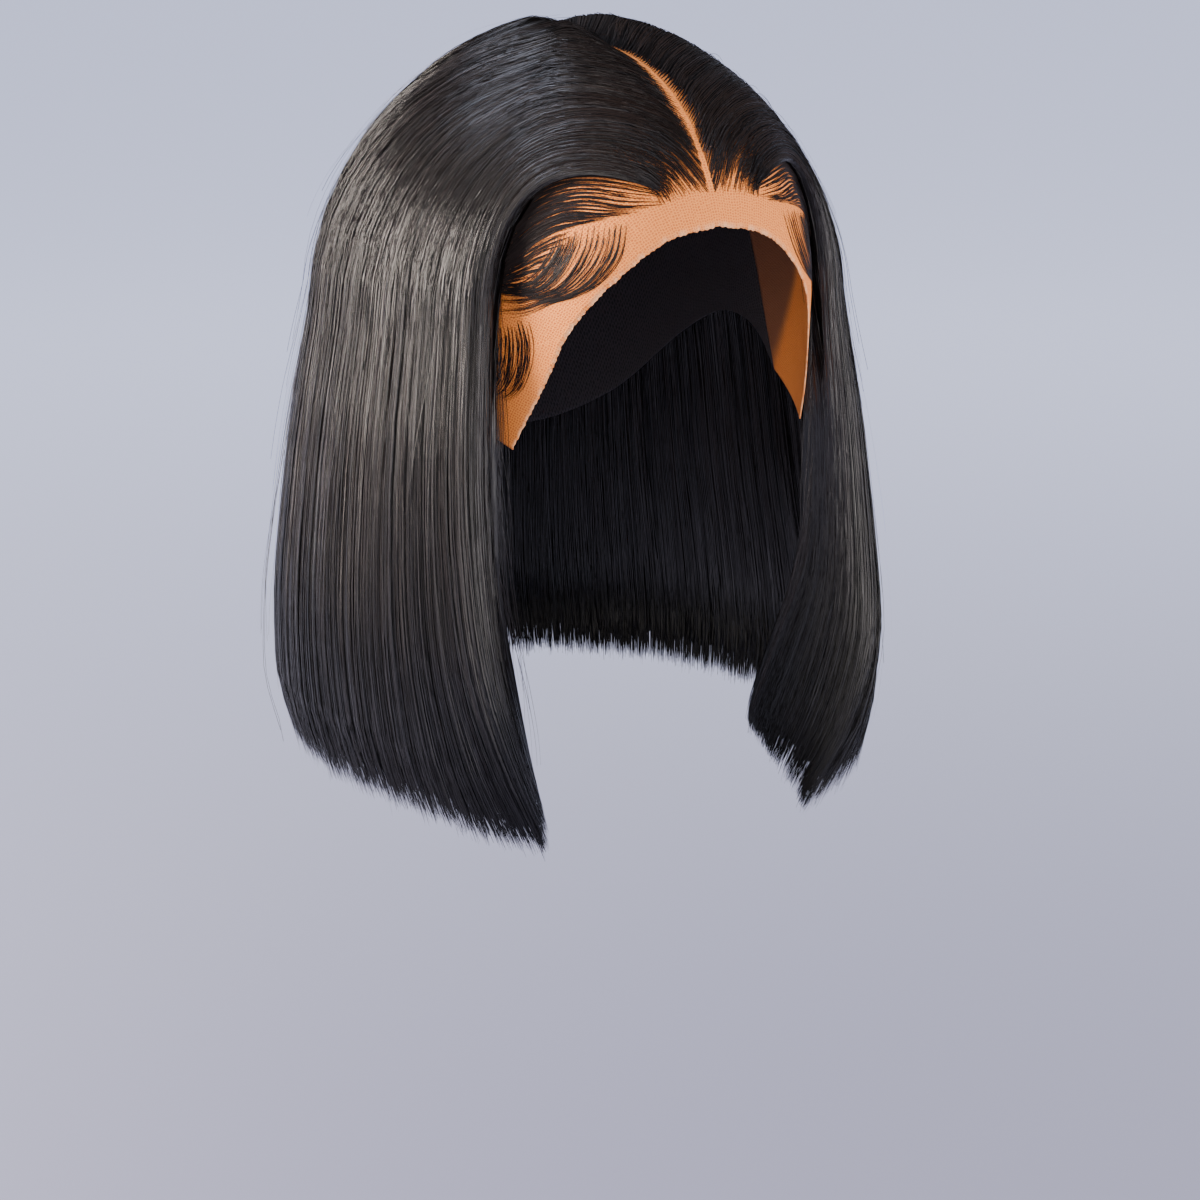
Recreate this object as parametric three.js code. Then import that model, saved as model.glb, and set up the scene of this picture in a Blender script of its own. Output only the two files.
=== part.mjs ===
import * as THREE from "three";

// A straight bob wig: a lace front and a stretch cap, with the hair in two sides that meet at a middle
// parting and behind the head. Millimetres, +Z up, face towards -Y, wearer's right towards -X.
// The origin is the inside top of the cap, where the crown of a head rests.

// The head that the cap fits: an average one, 560 mm round.
const head = { halfWidth: 78, halfLength: 97, dome: 95, fullness: 2.3, taper: 0.05 };

const laceWall = 1.0;
const capWall = 1.3;
const seamGap = 0.3;
const hairClearance = 1.2; // from the cap's outside to the underside of the hair

// Outer form of the hair at ear level, and how far it hangs below that.
const hair = {
  halfWidth: 104.5,
  halfLength: 110,
  centreY: 7,
  lift: 13,
  fullness: 1.78, // 2 would be a round dome
  frontFullness: 2.1, // over the forehead
  drop: 200.5,
  backRise: 27, // how much shorter the back is cut
  frontTuck: 0.11, // how much further in the front corners turn
  cornerTurn: 0.085, // share by which the corner's ends are drawn in towards the neck
  edgeTurn: 0.24, // the same for the front edge itself, which lies on the cheek
};

const hairWall = 13; // thickest that the hair hangs
const rootDepth = 1.8; // thickness of the hair where it leaves the lace
const tipShare = 0.55; // share of the wall left at the cut ends
const edgeShare = 0.3; // share of the wall left at the front edge beside the face
const edgePaths = 1.5; // paths over which it thickens behind that edge
const lockDepth = 2.6; // valley between two locks, below their crests
const lockCut = 4; // how much longer the middle of a lock is than its sides
const partHalf = 1.1; // half width of the bare parting
const backHalf = 0.2; // half of the gap between the two sides behind the parting

// Spread of the hanging hair, by share of its drop below ear level.
const spreadRows = [
  { share: 0.0, spread: 1.0 },
  { share: 0.1, spread: 1.028 },
  { share: 0.25, spread: 1.075 },
  { share: 0.45, spread: 1.12 },
  { share: 0.65, spread: 1.155 },
  { share: 0.78, spread: 1.16 },
  { share: 0.88, spread: 1.15 },
  { share: 1.0, spread: 1.09 },
];

// Paths that the right side's hair follows. The first is its front edge, which arches from the hairline
// over the temple; the next grow back along the parting and the last ones round the crown. Angles in
// degrees run from the face (0) past the right ear (90) to the nape (180).
// root, tilt: where it grows, with tilt down from the crown; comb: 0 sideways, 90 backwards;
// reach, lift: how far it runs before it turns down; fall, tip: angles at ear level and at its end;
// rise: share of its length over which it climbs from the lace to the full depth.
const pathRows = [
  { root: 16.3, tilt: 56.4, comb: 34, reach: 0.42, lift: 0.4, fall: 51, tip: 36, rise: 0.4 },
  { root: 8.5, tilt: 55, comb: 40, reach: 0.5, lift: 0.52, fall: 57, tip: 41, rise: 0.32 },
  { root: 1.5, tilt: 54, comb: 45, reach: 0.58, lift: 0.65, fall: 66, tip: 55, rise: 0.25 },
  { root: 1, tilt: 48, comb: 41, reach: 0.62, lift: 0.77, fall: 74.5, tip: 67, rise: 0.2 },
  { root: 1, tilt: 40, comb: 35, reach: 0.62, lift: 0.85, fall: 84, tip: 77, rise: 0.16 },
  { root: 1, tilt: 30, comb: 28, reach: 0.6, lift: 0.88, fall: 95, tip: 89, rise: 0.14 },
  { root: 1, tilt: 20, comb: 20, reach: 0.6, lift: 0.9, fall: 108, tip: 103, rise: 0.12 },
  { root: 1, tilt: 10, comb: 14, reach: 0.6, lift: 0.9, fall: 121, tip: 117, rise: 0.12 },
  { root: 90, tilt: 1, comb: 10, reach: 0.55, lift: 0.9, fall: 137, tip: 134, rise: 0.12 },
  { root: 176, tilt: 8, comb: 40, reach: 0.5, lift: 0.8, fall: 158, tip: 156, rise: 0.12 },
  { root: 180, tilt: 12, comb: 90, reach: 0.45, lift: 0.7, fall: 180, tip: 180, rise: 0.12 },
];
const partingRow = 2; // path at the front end of the parting
const crownRow = 7; // last path that grows along the parting

// Line on the head, from the hairline over the temple and down the cheek, where the front edge lies.
const edgeRow = { root: 17.5, tilt: 61.3, comb: -57, reach: 0.04, lift: 0.85, fall: 60.5, tip: 60.5 };
const edgeReach = 1.8; // paths over which the hair's underside leaves that line
// How the hair rounds out behind its front edge, by path number: share of the full depth that the
// outside reaches, and how much longer the hair is cut there.
const edgeRows = [
  { number: 0, swell: 0.14, longer: -24 },
  { number: 0.35, swell: 0.57, longer: -7 },
  { number: 0.7, swell: 0.86, longer: 4 },
  { number: 1.1, swell: 0.99, longer: 7 },
  { number: 1.6, swell: 1, longer: 6 },
  { number: 2.2, swell: 1, longer: 3 },
  { number: 3, swell: 1, longer: 0 },
];

// Locks of one side: path number where each ends, and how much longer it is cut than its neighbours.
const lockRows = [
  { until: 0.55, cut: -1 },
  { until: 1.2, cut: 0 },
  { until: 2.1, cut: 1 },
  { until: 3.15, cut: -1 },
  { until: 4.1, cut: 1 },
  { until: 4.95, cut: -2 },
  { until: 5.7, cut: 1 },
  { until: 6.4, cut: -2 },
  { until: 7.05, cut: 1 },
  { until: 7.6, cut: 2 },
  { until: 8.2, cut: -1 },
  { until: 8.7, cut: 1 },
  { until: 9.15, cut: -2 },
  { until: 9.6, cut: 1 },
  { until: 10, cut: 0 },
];
const lockColumns = 4;
const domeSteps = 9;
const hangSteps = 8;
const tipCurl = 2.6; // above 1, the ends turn towards the face only low down

// Front edge of the lace, from the middle of the forehead (share 0) to the end of its tab at the ear.
// Heights are measured from the crown, as shares of the dome's height.
const laceEdgeRows = [
  { share: 0.0, angle: 0, height: -0.653 },
  { share: 0.25, angle: 17, height: -0.705 },
  { share: 0.5, angle: 32, height: -0.874 },
  { share: 0.7, angle: 42, height: -1.063 },
  { share: 0.85, angle: 48, height: -1.274 },
  { share: 1.0, angle: 57, height: -1.547 },
];
// Seam where the lace meets the cap, from the crown (swing 0) down past the ear (90), set back or forward.
const seamRows = [
  { share: 0.0, swing: 0, back: 0.1 },
  { share: 0.4, swing: 42, back: 0.09 },
  { share: 0.75, swing: 79, back: 0.0 },
  { share: 1.0, swing: 113, back: -0.22 },
];
// Lower edge of the cap, from the seam over the ear and down to the nape.
const napeRows = [
  { share: 0.0, angle: 180, height: -1.716 },
  { share: 0.3, angle: 156, height: -1.737 },
  { share: 0.5, angle: 135, height: -1.6 },
  { share: 0.7, angle: 114, height: -1.305 },
  { share: 0.85, angle: 100, height: -1.189 },
  { share: 1.0, angle: 86, height: -1.221 },
];
const capColumns = 30;
const laceSteps = 9;
const capSteps = 11;

const { degToRad: toRadians, clamp, lerp, smoothstep } = THREE.MathUtils;

// Smooth curve through a table's rows, read by one named column at x in another.
function curveThrough(rows, xName, yName) {
  const x = rows.map((row) => row[xName]);
  const y = rows.map((row) => row[yName]);
  const last = x.length - 1;
  const slope = x.map((_, i) => {
    const a = Math.max(i - 1, 0);
    const b = Math.min(i + 1, last);
    return (y[b] - y[a]) / (x[b] - x[a]);
  });
  return (at) => {
    const i = clamp(x.findIndex((value) => value > at) - 1, at >= x[last] ? last - 1 : 0, last - 1);
    const step = x[i + 1] - x[i];
    const t = clamp((at - x[i]) / step, 0, 1);
    const u = 1 - t;
    return (
      y[i] * u * u * (1 + 2 * t) +
      y[i + 1] * t * t * (3 - 2 * t) +
      slope[i] * step * t * u * u -
      slope[i + 1] * step * t * t * u
    );
  };
}

const spreadAt = curveThrough(spreadRows, "share", "spread");

// A place on the head or hair is a vector: a unit direction above ear level, and below it a unit
// direction in plan with z going from 0 to -1 at the lowest end.
function place(angle, tilt) {
  const a = toRadians(angle);
  const t = toRadians(tilt);
  return new THREE.Vector3(-Math.sin(a) * Math.sin(t), -Math.cos(a) * Math.sin(t), Math.cos(t));
}

function hangingPlace(angle, share) {
  return place(angle, 90).setZ(-share);
}

function settled(q) {
  const long = Math.hypot(q.x, q.y, Math.max(q.z, 0));
  return new THREE.Vector3(q.x / long, q.y / long, q.z > 0 ? q.z / long : q.z);
}

// Point on the head at a place, pushed out by a depth.
function headPoint(q, out) {
  const r = Math.max(Math.hypot(q.x, q.y), 1e-9);
  const up = Math.max(q.z, 0);
  const below = Math.min(q.z, 0);
  const n = head.fullness;
  const round = (r ** n + up ** n) ** (-1 / n);
  const plan = ((Math.abs(q.x) / r) ** n + (Math.abs(q.y) / r) ** n) ** (-1 / n);
  const k = round * plan * (1 + head.taper * below);
  return new THREE.Vector3(
    (head.halfWidth + out) * q.x * k,
    (head.halfLength + out) * q.y * k,
    -head.dome + (head.dome + out) * up * round + head.dome * below,
  );
}

// Point on the outside of the hair at a place.
function hairPoint(q) {
  const r = Math.max(Math.hypot(q.x, q.y), 1e-9);
  const up = Math.max(q.z, 0);
  const front = -q.y / r;
  const n = lerp(hair.fullness, hair.frontFullness, smoothstep(front, 0.5, 0.9));
  const round = (r ** n + up ** n) ** (-1 / n);
  const tuck = hair.frontTuck * smoothstep(front, 0.55, 0.8) * Math.max(-q.z, 0) ** 5;
  const spread = (q.z < 0 ? spreadAt(-q.z) : 1) - tuck;
  const drop = hair.drop - hair.backRise * Math.max((0.75 - front) / 1.75, 0) ** 0.7;
  return new THREE.Vector3(
    hair.halfWidth * q.x * round * spread,
    hair.centreY + hair.halfLength * q.y * round * spread,
    q.z > 0 ? -head.dome + (head.dome + hair.lift) * up * round : -head.dome + drop * q.z,
  );
}

// Places along one path from its root to its end.
function pathPlaces(row) {
  const root = place(row.root, row.tilt);
  const end = place(row.fall, 90);
  const above = end.clone().setZ(row.lift);
  const comb = toRadians(row.comb);
  const side = new THREE.Vector3(-1, 0, 0).projectOnPlane(root).normalize();
  const back = new THREE.Vector3(0, 1, 0).projectOnPlane(root).projectOnPlane(side).normalize();
  const ahead = root
    .clone()
    .addScaledVector(side, row.reach * Math.cos(comb))
    .addScaledVector(back, row.reach * Math.sin(comb));
  const dome = new THREE.CubicBezierCurve3(root, ahead, above, end).getPoints(domeSteps).map(settled);
  const hang = Array.from({ length: hangSteps }, (_, i) => {
    const share = (i + 1) / hangSteps;
    return hangingPlace(row.fall + (row.tip - row.fall) * share ** tipCurl, share);
  });
  return [...dome, ...hang];
}

const paths = pathRows.map(pathPlaces);
const edgePlaces = pathPlaces(edgeRow);
const swellAt = curveThrough(edgeRows, "number", "swell");
const longerAt = curveThrough(edgeRows, "number", "longer");
const riseAt = curveThrough(pathRows.map((row, number) => ({ number, rise: row.rise })), "number", "rise");

// Place between the paths at a path number, by a smooth curve across them.
function placeAcross(number, step) {
  const last = paths.length - 1;
  const i = clamp(Math.floor(number), 0, last - 1);
  const t = number - i;
  const [a, b, c, d] = [i - 1, i, i + 1, i + 2].map((k) => paths[clamp(k, 0, last)][step]);
  return settled(new THREE.CatmullRomCurve3([a, b, c, d], false, "catmullrom", 0.5).getPoint((1 + t) / 3));
}

function drawIn(point, share) {
  point.x *= 1 - share;
  point.y = hair.centreY + (point.y - hair.centreY) * (1 - share);
}

// One point of the hair's outside (outer true) or underside at a path number and step down the path.
function hairWallPoint(number, step, crest, cut, outer) {
  const steps = domeSteps + hangSteps;
  const q = placeAcross(number, step);
  if (step > domeSteps) q.z *= 1 + cut / hair.drop;
  const low = Math.max(-q.z, 0);
  const full = hairPoint(q);
  full.z -= longerAt(Math.min(number, 3)) * low ** 1.5;
  const under = settled(q.clone().lerp(edgePlaces[step], 1 - smoothstep(number, 0, edgeReach)));
  if (q.z < 0) under.z = q.z;
  const base = headPoint(under, capWall + hairClearance);
  if (q.z < 0) base.z = full.z;
  drawIn(base, hair.edgeTurn * (1 - smoothstep(number, 0, 0.9)) * smoothstep(low, 0.5, 1));
  drawIn(full, hair.cornerTurn * (1 - smoothstep(number, 0.9, 2.6)) * smoothstep(low, 0.65, 1.05));
  const way = full.clone().sub(base);
  const swell = swellAt(Math.min(number, 3));
  const room = way.length() * swell;
  const share = step / steps;
  const rise = smoothstep(share / riseAt(number), 0, 1);
  const hanging = smoothstep(share, 0.4, 0.65);
  const thin =
    lerp(1, tipShare, smoothstep(share, 0.72, 1)) *
    lerp(1, edgeShare, hanging * (1 - smoothstep(number, 0, edgePaths)));
  const height = outer
    ? rootDepth + (room - rootDepth) * rise - lockDepth * swell * rise * (1 - crest)
    : Math.max(room - hairWall * thin, 0) * rise;
  const point = base.addScaledVector(way.normalize(), height);
  const bare = number <= crownRow ? partHalf : backHalf;
  if (number >= partingRow) point.x = Math.min(point.x, -bare);
  return point;
}

// Closed mesh from two grids of points, outside and inside, joined round their edges.
function closedWall(outside, inside) {
  const rows = outside.length;
  const columns = outside[0].length;
  const grid = rows * columns;
  const positions = [...outside, ...inside].flat().flatMap((p) => p.toArray());
  const faces = [];
  const quad = (a, b, c, d) => faces.push(a, b, c, a, c, d);
  for (let r = 0; r < rows - 1; r++) {
    for (let c = 0; c < columns - 1; c++) {
      const a = r * columns + c;
      quad(a, a + 1, a + 1 + columns, a + columns);
      quad(grid + a, grid + a + columns, grid + a + 1 + columns, grid + a + 1);
    }
  }
  for (let c = 0; c < columns - 1; c++) {
    const low = (rows - 1) * columns + c;
    quad(c + 1, c, grid + c, grid + c + 1);
    quad(low, low + 1, grid + low + 1, grid + low);
  }
  for (let r = 0; r < rows - 1; r++) {
    const left = r * columns;
    const right = left + columns - 1;
    quad(left, left + columns, grid + left + columns, grid + left);
    quad(right + columns, right, grid + right, grid + right + columns);
  }
  const geometry = new THREE.BufferGeometry();
  geometry.setAttribute("position", new THREE.Float32BufferAttribute(positions, 3));
  geometry.setIndex(faces);
  return geometry;
}

function mirrored(rows) {
  return rows.map((row) => row.map((p) => new THREE.Vector3(-p.x, p.y, p.z)).reverse());
}

function hairColumns() {
  const columns = [];
  let from = 0;
  lockRows.forEach((lock, index) => {
    const isLast = index === lockRows.length - 1;
    for (let i = 0; i < lockColumns + (isLast ? 1 : 0); i++) {
      const across = i / lockColumns;
      const crest = 1 - (2 * across - 1) ** 2;
      const number = from + (lock.until - from) * across;
      columns.push({ number, crest, cut: crest * (lockCut + lock.cut) });
    }
    from = lock.until;
  });
  return columns;
}

function hairGrids() {
  const columns = hairColumns();
  const grid = (outer) =>
    Array.from({ length: domeSteps + hangSteps + 1 }, (_, step) =>
      columns.map(({ number, crest, cut }) => hairWallPoint(number, step, crest, cut, outer)),
    );
  return { outside: grid(true), inside: grid(false) };
}

// Place on the head at an angle and a height below its top, a share of the dome's height.
function headPlace(angle, height) {
  const share = 1 + height;
  if (share <= 0) return hangingPlace(angle, -share);
  const r = (1 - share ** head.fullness) ** (1 / head.fullness);
  return settled(place(angle, 90).multiplyScalar(r).setZ(share));
}

// Edge line of one side's places, read from right ear (-1) over the middle (0) to left ear (1).
function edgeLine(placeAt) {
  return (along) => {
    const q = placeAt(Math.abs(along));
    q.x *= -Math.sign(along);
    return q;
  };
}

function edgeByHeight(rows) {
  const angleAt = curveThrough(rows, "share", "angle");
  const heightAt = curveThrough(rows, "share", "height");
  return edgeLine((share) => headPlace(angleAt(share), heightAt(share)));
}

function edgeBySwing(rows) {
  const swingAt = curveThrough(rows, "share", "swing");
  const backAt = curveThrough(rows, "share", "back");
  return edgeLine((share) => {
    const swing = toRadians(swingAt(share));
    return settled(new THREE.Vector3(-Math.sin(swing), backAt(share), Math.cos(swing)));
  });
}

function headPanel(fromLine, toLine, steps, wall) {
  const grid = (out) =>
    Array.from({ length: steps + 1 }, (_, step) =>
      Array.from({ length: capColumns + 1 }, (_, column) => {
        const along = (2 * column) / capColumns - 1;
        return headPoint(settled(fromLine(along).lerp(toLine(along), step / steps)), out);
      }),
    );
  return closedWall(grid(wall), grid(0));
}

const laceEdge = edgeByHeight(laceEdgeRows);
const seam = edgeBySwing(seamRows);
const nape = edgeByHeight(napeRows);
const behindSeam = (along) => {
  const q = seam(along);
  q.y += seamGap / head.halfWidth;
  return settled(q);
};

const laceMaterial = new THREE.MeshStandardMaterial({ color: "#d9a077", roughness: 0.8, metalness: 0 });
const capMaterial = new THREE.MeshStandardMaterial({ color: "#1b1718", roughness: 0.9, metalness: 0 });
const hairMaterial = new THREE.MeshStandardMaterial({ color: "#241e1f", roughness: 0.38, metalness: 0 });

function named(name, geometry, material) {
  geometry.computeVertexNormals();
  const mesh = new THREE.Mesh(geometry, material);
  mesh.name = name;
  return mesh;
}

const grids = hairGrids();
const wig = new THREE.Group();
wig.add(named("lace_front", headPanel(laceEdge, seam, laceSteps, laceWall), laceMaterial));
wig.add(named("stretch_cap", headPanel(behindSeam, nape, capSteps, capWall), capMaterial));
wig.add(named("hair_right", closedWall(grids.outside, grids.inside), hairMaterial));
wig.add(named("hair_left", closedWall(mirrored(grids.outside), mirrored(grids.inside)), hairMaterial));

export default wig;
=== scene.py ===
import math

import bpy
import numpy as np
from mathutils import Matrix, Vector


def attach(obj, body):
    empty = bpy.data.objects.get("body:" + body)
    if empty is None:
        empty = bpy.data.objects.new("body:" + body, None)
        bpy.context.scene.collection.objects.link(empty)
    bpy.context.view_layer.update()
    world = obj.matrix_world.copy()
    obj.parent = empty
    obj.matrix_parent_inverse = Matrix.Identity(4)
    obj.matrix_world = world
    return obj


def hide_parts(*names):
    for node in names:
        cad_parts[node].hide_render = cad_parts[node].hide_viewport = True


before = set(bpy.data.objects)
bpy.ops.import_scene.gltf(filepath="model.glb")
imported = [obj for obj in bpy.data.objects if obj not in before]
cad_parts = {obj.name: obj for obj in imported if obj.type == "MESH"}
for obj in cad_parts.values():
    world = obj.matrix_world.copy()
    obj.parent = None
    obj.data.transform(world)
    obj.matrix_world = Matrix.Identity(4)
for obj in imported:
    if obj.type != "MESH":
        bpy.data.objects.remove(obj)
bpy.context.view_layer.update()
print("frame loaded:", ", ".join(sorted(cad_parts)))

mm = 0.001


def smoothStep(x, low, high):
    t = np.clip((x - low) / (high - low), 0, 1)
    return t * t * (3 - 2 * t)


def mix(a, b, t):
    return a + (b - a) * t


def unit(v):
    return v / np.maximum(np.linalg.norm(v, axis=-1, keepdims=True), 1e-9)


def runAlong(points):  # length from the first point to each of them
    return np.concatenate([[0], np.cumsum(np.linalg.norm(np.diff(points, axis=0), axis=-1))])


def curveThrough(xs, ys):  # smooth curve through marks
    xs, ys = np.array(xs, float), np.array(ys, float)
    last = len(xs) - 1
    low, high = np.maximum(np.arange(last + 1) - 1, 0), np.minimum(np.arange(last + 1) + 1, last)
    slope = (ys[high] - ys[low]) / (xs[high] - xs[low])

    def at(x):
        x = np.asarray(x, float)
        i = np.clip(np.searchsorted(xs, x, side="right") - 1, 0, last - 1)
        step = xs[i + 1] - xs[i]
        t = np.clip((x - xs[i]) / step, 0, 1)
        u = 1 - t
        ends = ys[i] * u * u * (1 + 2 * t) + ys[i + 1] * t * t * (3 - 2 * t)
        return ends + slope[i] * step * t * u * u - slope[i + 1] * step * t * t * u

    return at


def waves(rng, count=512):  # smooth noise from -1 to 1 along one number, one bump per whole number
    values = rng.uniform(-1, 1, count)

    def at(x):
        i = np.floor(x).astype(int)
        t = x - i
        t = t * t * (3 - 2 * t)
        return values[i % count] * (1 - t) + values[(i + 1) % count] * t

    return at


head = dict(halfWidth=78, halfLength=97, dome=95, fullness=2.3, taper=0.05)
wall = dict(lace=1.0, cap=1.3, clearance=1.2)  # thickness of lace and cap, and the hair's gap above

hair = dict(
    halfWidth=104.5,
    halfLength=110,
    centreY=7,
    lift=13,
    fullness=1.78,
    frontFullness=2.1,
    drop=200.5,  # from ear level to the cut
    backRise=27,  # how much shorter the back is cut
    frontTuck=0.11,
    cornerTurn=0.085,  # share by which the corner's ends are drawn in towards the neck
    edgeTurn=0.24,  # the same for the front edge itself, which lies on the cheek
    thickness=13,
    rootDepth=1.8,
    crownShut=0.86,  # share of the full depth that the hair keeps at its roots on the crown
    tipShare=0.55,
    edgeShare=0.3,
    edgePaths=1.5,
)
spreadAt = curveThrough(
    [0, 0.1, 0.25, 0.45, 0.65, 0.78, 0.88, 1], [1, 1.028, 1.075, 1.12, 1.155, 1.16, 1.15, 1.09]
)

# Combed paths of one side, from the front edge (0) back along the parting to the crown and the nape (10).
# Angles run from the face (0) past the ear (90) to the nape (180), and tilts down from the crown.
pathTable = np.array(
    [
        # root  tilt  comb  reach lift  fall  tip  rise
        [16.3, 56.4, 34, 0.42, 0.40, 51, 36, 0.40],
        [8.5, 55, 40, 0.50, 0.52, 57, 41, 0.34],
        [1.5, 54, 45, 0.58, 0.65, 66, 55, 0.28],
        [1, 48, 41, 0.62, 0.77, 74.5, 67, 0.23],
        [1, 40, 35, 0.62, 0.85, 84, 77, 0.18],
        [1, 30, 28, 0.60, 0.88, 95, 89, 0.13],
        [1, 20, 20, 0.60, 0.90, 108, 103, 0.08],
        [1, 10, 14, 0.60, 0.90, 121, 117, 0.05],
        [90, 1, 10, 0.55, 0.90, 137, 134, 0.04],
        [176, 8, 40, 0.50, 0.80, 158, 156, 0.05],
        [180, 12, 90, 0.45, 0.70, 180, 180, 0.08],
    ]
)
earShare = 9 / 17  # share of a path's length at ear level
# line on the head, from the hairline over the temple and down the cheek, where the front edge lies
edgeRow = [17.5, 61.3, -57, 0.04, 0.85, 60.5, 60.5, 0]
edgeReach = 1.8  # paths over which the hair's underside leaves that line
edgeTable = np.array(
    [
        # path, share of the full depth that the outside reaches, millimetres cut longer
        [0, 0.14, -24],
        [0.35, 0.57, -7],
        [0.7, 0.86, 4],
        [1.1, 0.99, 7],
        [1.6, 1, 6],
        [2.2, 1, 3],
        [3, 1, 0],
    ]
)


def place(angle, tilt):
    a, t = np.radians(angle), np.radians(tilt)
    return np.stack([-np.sin(a) * np.sin(t), -np.cos(a) * np.sin(t), np.cos(t) + 0 * a], -1)


def settled(q):
    q = np.array(q, float)
    long = np.sqrt(q[..., 0] ** 2 + q[..., 1] ** 2 + np.maximum(q[..., 2], 0) ** 2)
    q[..., :2] /= long[..., None]
    q[..., 2] = np.where(q[..., 2] > 0, q[..., 2] / long, q[..., 2])
    return q


def onHead(q, out):
    r = np.maximum(np.hypot(q[..., 0], q[..., 1]), 1e-9)
    up, below, n = np.maximum(q[..., 2], 0), np.minimum(q[..., 2], 0), head["fullness"]
    roundness = (r**n + up**n) ** (-1 / n)
    plan = ((np.abs(q[..., 0]) / r) ** n + (np.abs(q[..., 1]) / r) ** n) ** (-1 / n)
    k = roundness * plan * (1 + head["taper"] * below)
    x = (head["halfWidth"] + out) * q[..., 0] * k
    y = (head["halfLength"] + out) * q[..., 1] * k
    z = -head["dome"] + (head["dome"] + out) * up * roundness + head["dome"] * below
    return np.stack([x, y, z], -1)


def onHair(q):
    r = np.maximum(np.hypot(q[..., 0], q[..., 1]), 1e-9)
    up, low, front = np.maximum(q[..., 2], 0), np.maximum(-q[..., 2], 0), -q[..., 1] / r
    n = mix(hair["fullness"], hair["frontFullness"], smoothStep(front, 0.5, 0.9))
    roundness = (r**n + up**n) ** (-1 / n)
    tuck = hair["frontTuck"] * smoothStep(front, 0.55, 0.8) * np.minimum(low, 1) ** 5
    spread = np.where(q[..., 2] < 0, spreadAt(low), 1) - tuck
    drop = hair["drop"] - hair["backRise"] * np.maximum((0.75 - front) / 1.75, 0) ** 0.7
    x = hair["halfWidth"] * q[..., 0] * roundness * spread
    y = hair["centreY"] + hair["halfLength"] * q[..., 1] * roundness * spread
    z = np.where(q[..., 2] > 0, (head["dome"] + hair["lift"]) * up * roundness, drop * q[..., 2])
    return np.stack([x, y, z - head["dome"]], -1)


def pathLine(row, domeSamples=90, hangSamples=80):
    rootAngle, tilt, comb, reach, lift, fall, tip, rise = row
    root, end = place(rootAngle, tilt), place(fall, 90)
    side = np.array([-1.0, 0, 0])
    side = unit(side - root * (side @ root))
    back = np.array([0, 1.0, 0])
    back -= root * (back @ root)
    back = unit(back - side * (back @ side))
    ahead = root + reach * (math.cos(math.radians(comb)) * side + math.sin(math.radians(comb)) * back)
    above = end + np.array([0, 0, lift])
    t = np.linspace(0, 1, domeSamples + 1)[:, None]
    bend = (1 - t) ** 3 * root + 3 * (1 - t) ** 2 * t * ahead + 3 * (1 - t) * t**2 * above + t**3 * end
    s = np.linspace(0, 1, hangSamples + 1)[1:]
    a = np.radians(fall + (tip - fall) * s**2.6)  # the ends turn towards the face only low down
    return np.vstack([settled(bend), np.stack([-np.sin(a), -np.cos(a), -s], -1)])


pathGrid = np.stack([pathLine(row) for row in pathTable])
lastPath = len(pathTable) - 1
riseAt = curveThrough(np.arange(lastPath + 1), pathTable[:, 7])
edgeLine = pathLine(edgeRow)
swellAt = curveThrough(edgeTable[:, 0], edgeTable[:, 1])
longerAt = curveThrough(edgeTable[:, 0], edgeTable[:, 2])


def sampleAt(share):  # sample of a path before a share of its length, and the part of a step beyond it
    s = np.clip(share, 0, 1)
    row = np.where(s < earShare, s / earShare * 90, 90 + (s - earShare) / (1 - earShare) * 80)
    j = np.clip(row.astype(int), 0, pathGrid.shape[1] - 2)
    return j, (row - j)[..., None]


def onPath(number, share):  # place on the paths; shares above 1 hang straight on
    j, f = sampleAt(share)
    n = np.clip(number, 0, lastPath)
    i = np.clip(n.astype(int), 0, lastPath - 1)
    t = n - i
    weights = (
        -0.5 * t + t**2 - 0.5 * t**3,
        1 - 2.5 * t**2 + 1.5 * t**3,
        0.5 * t + 2 * t**2 - 1.5 * t**3,
        -0.5 * t**2 + 0.5 * t**3,
    )
    q = 0
    for k, weight in enumerate(weights):
        at = np.clip(i + k - 1, 0, lastPath)
        q = q + weight[..., None] * (pathGrid[at, j] * (1 - f) + pathGrid[at, j + 1] * f)
    q = settled(q)
    q[..., 2] -= np.maximum(share - 1, 0) / (1 - earShare)
    return q


def crownward(number):  # 0 for the paths in front, 1 for those that grow on the crown and behind it
    return smoothStep(number, 5.8, 8)


def drawnIn(points, share):
    middle = np.array([0, hair["centreY"], 0])
    return middle + (points - middle) * np.stack([1 - share, 1 - share, 1 + 0 * share], -1)


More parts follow.
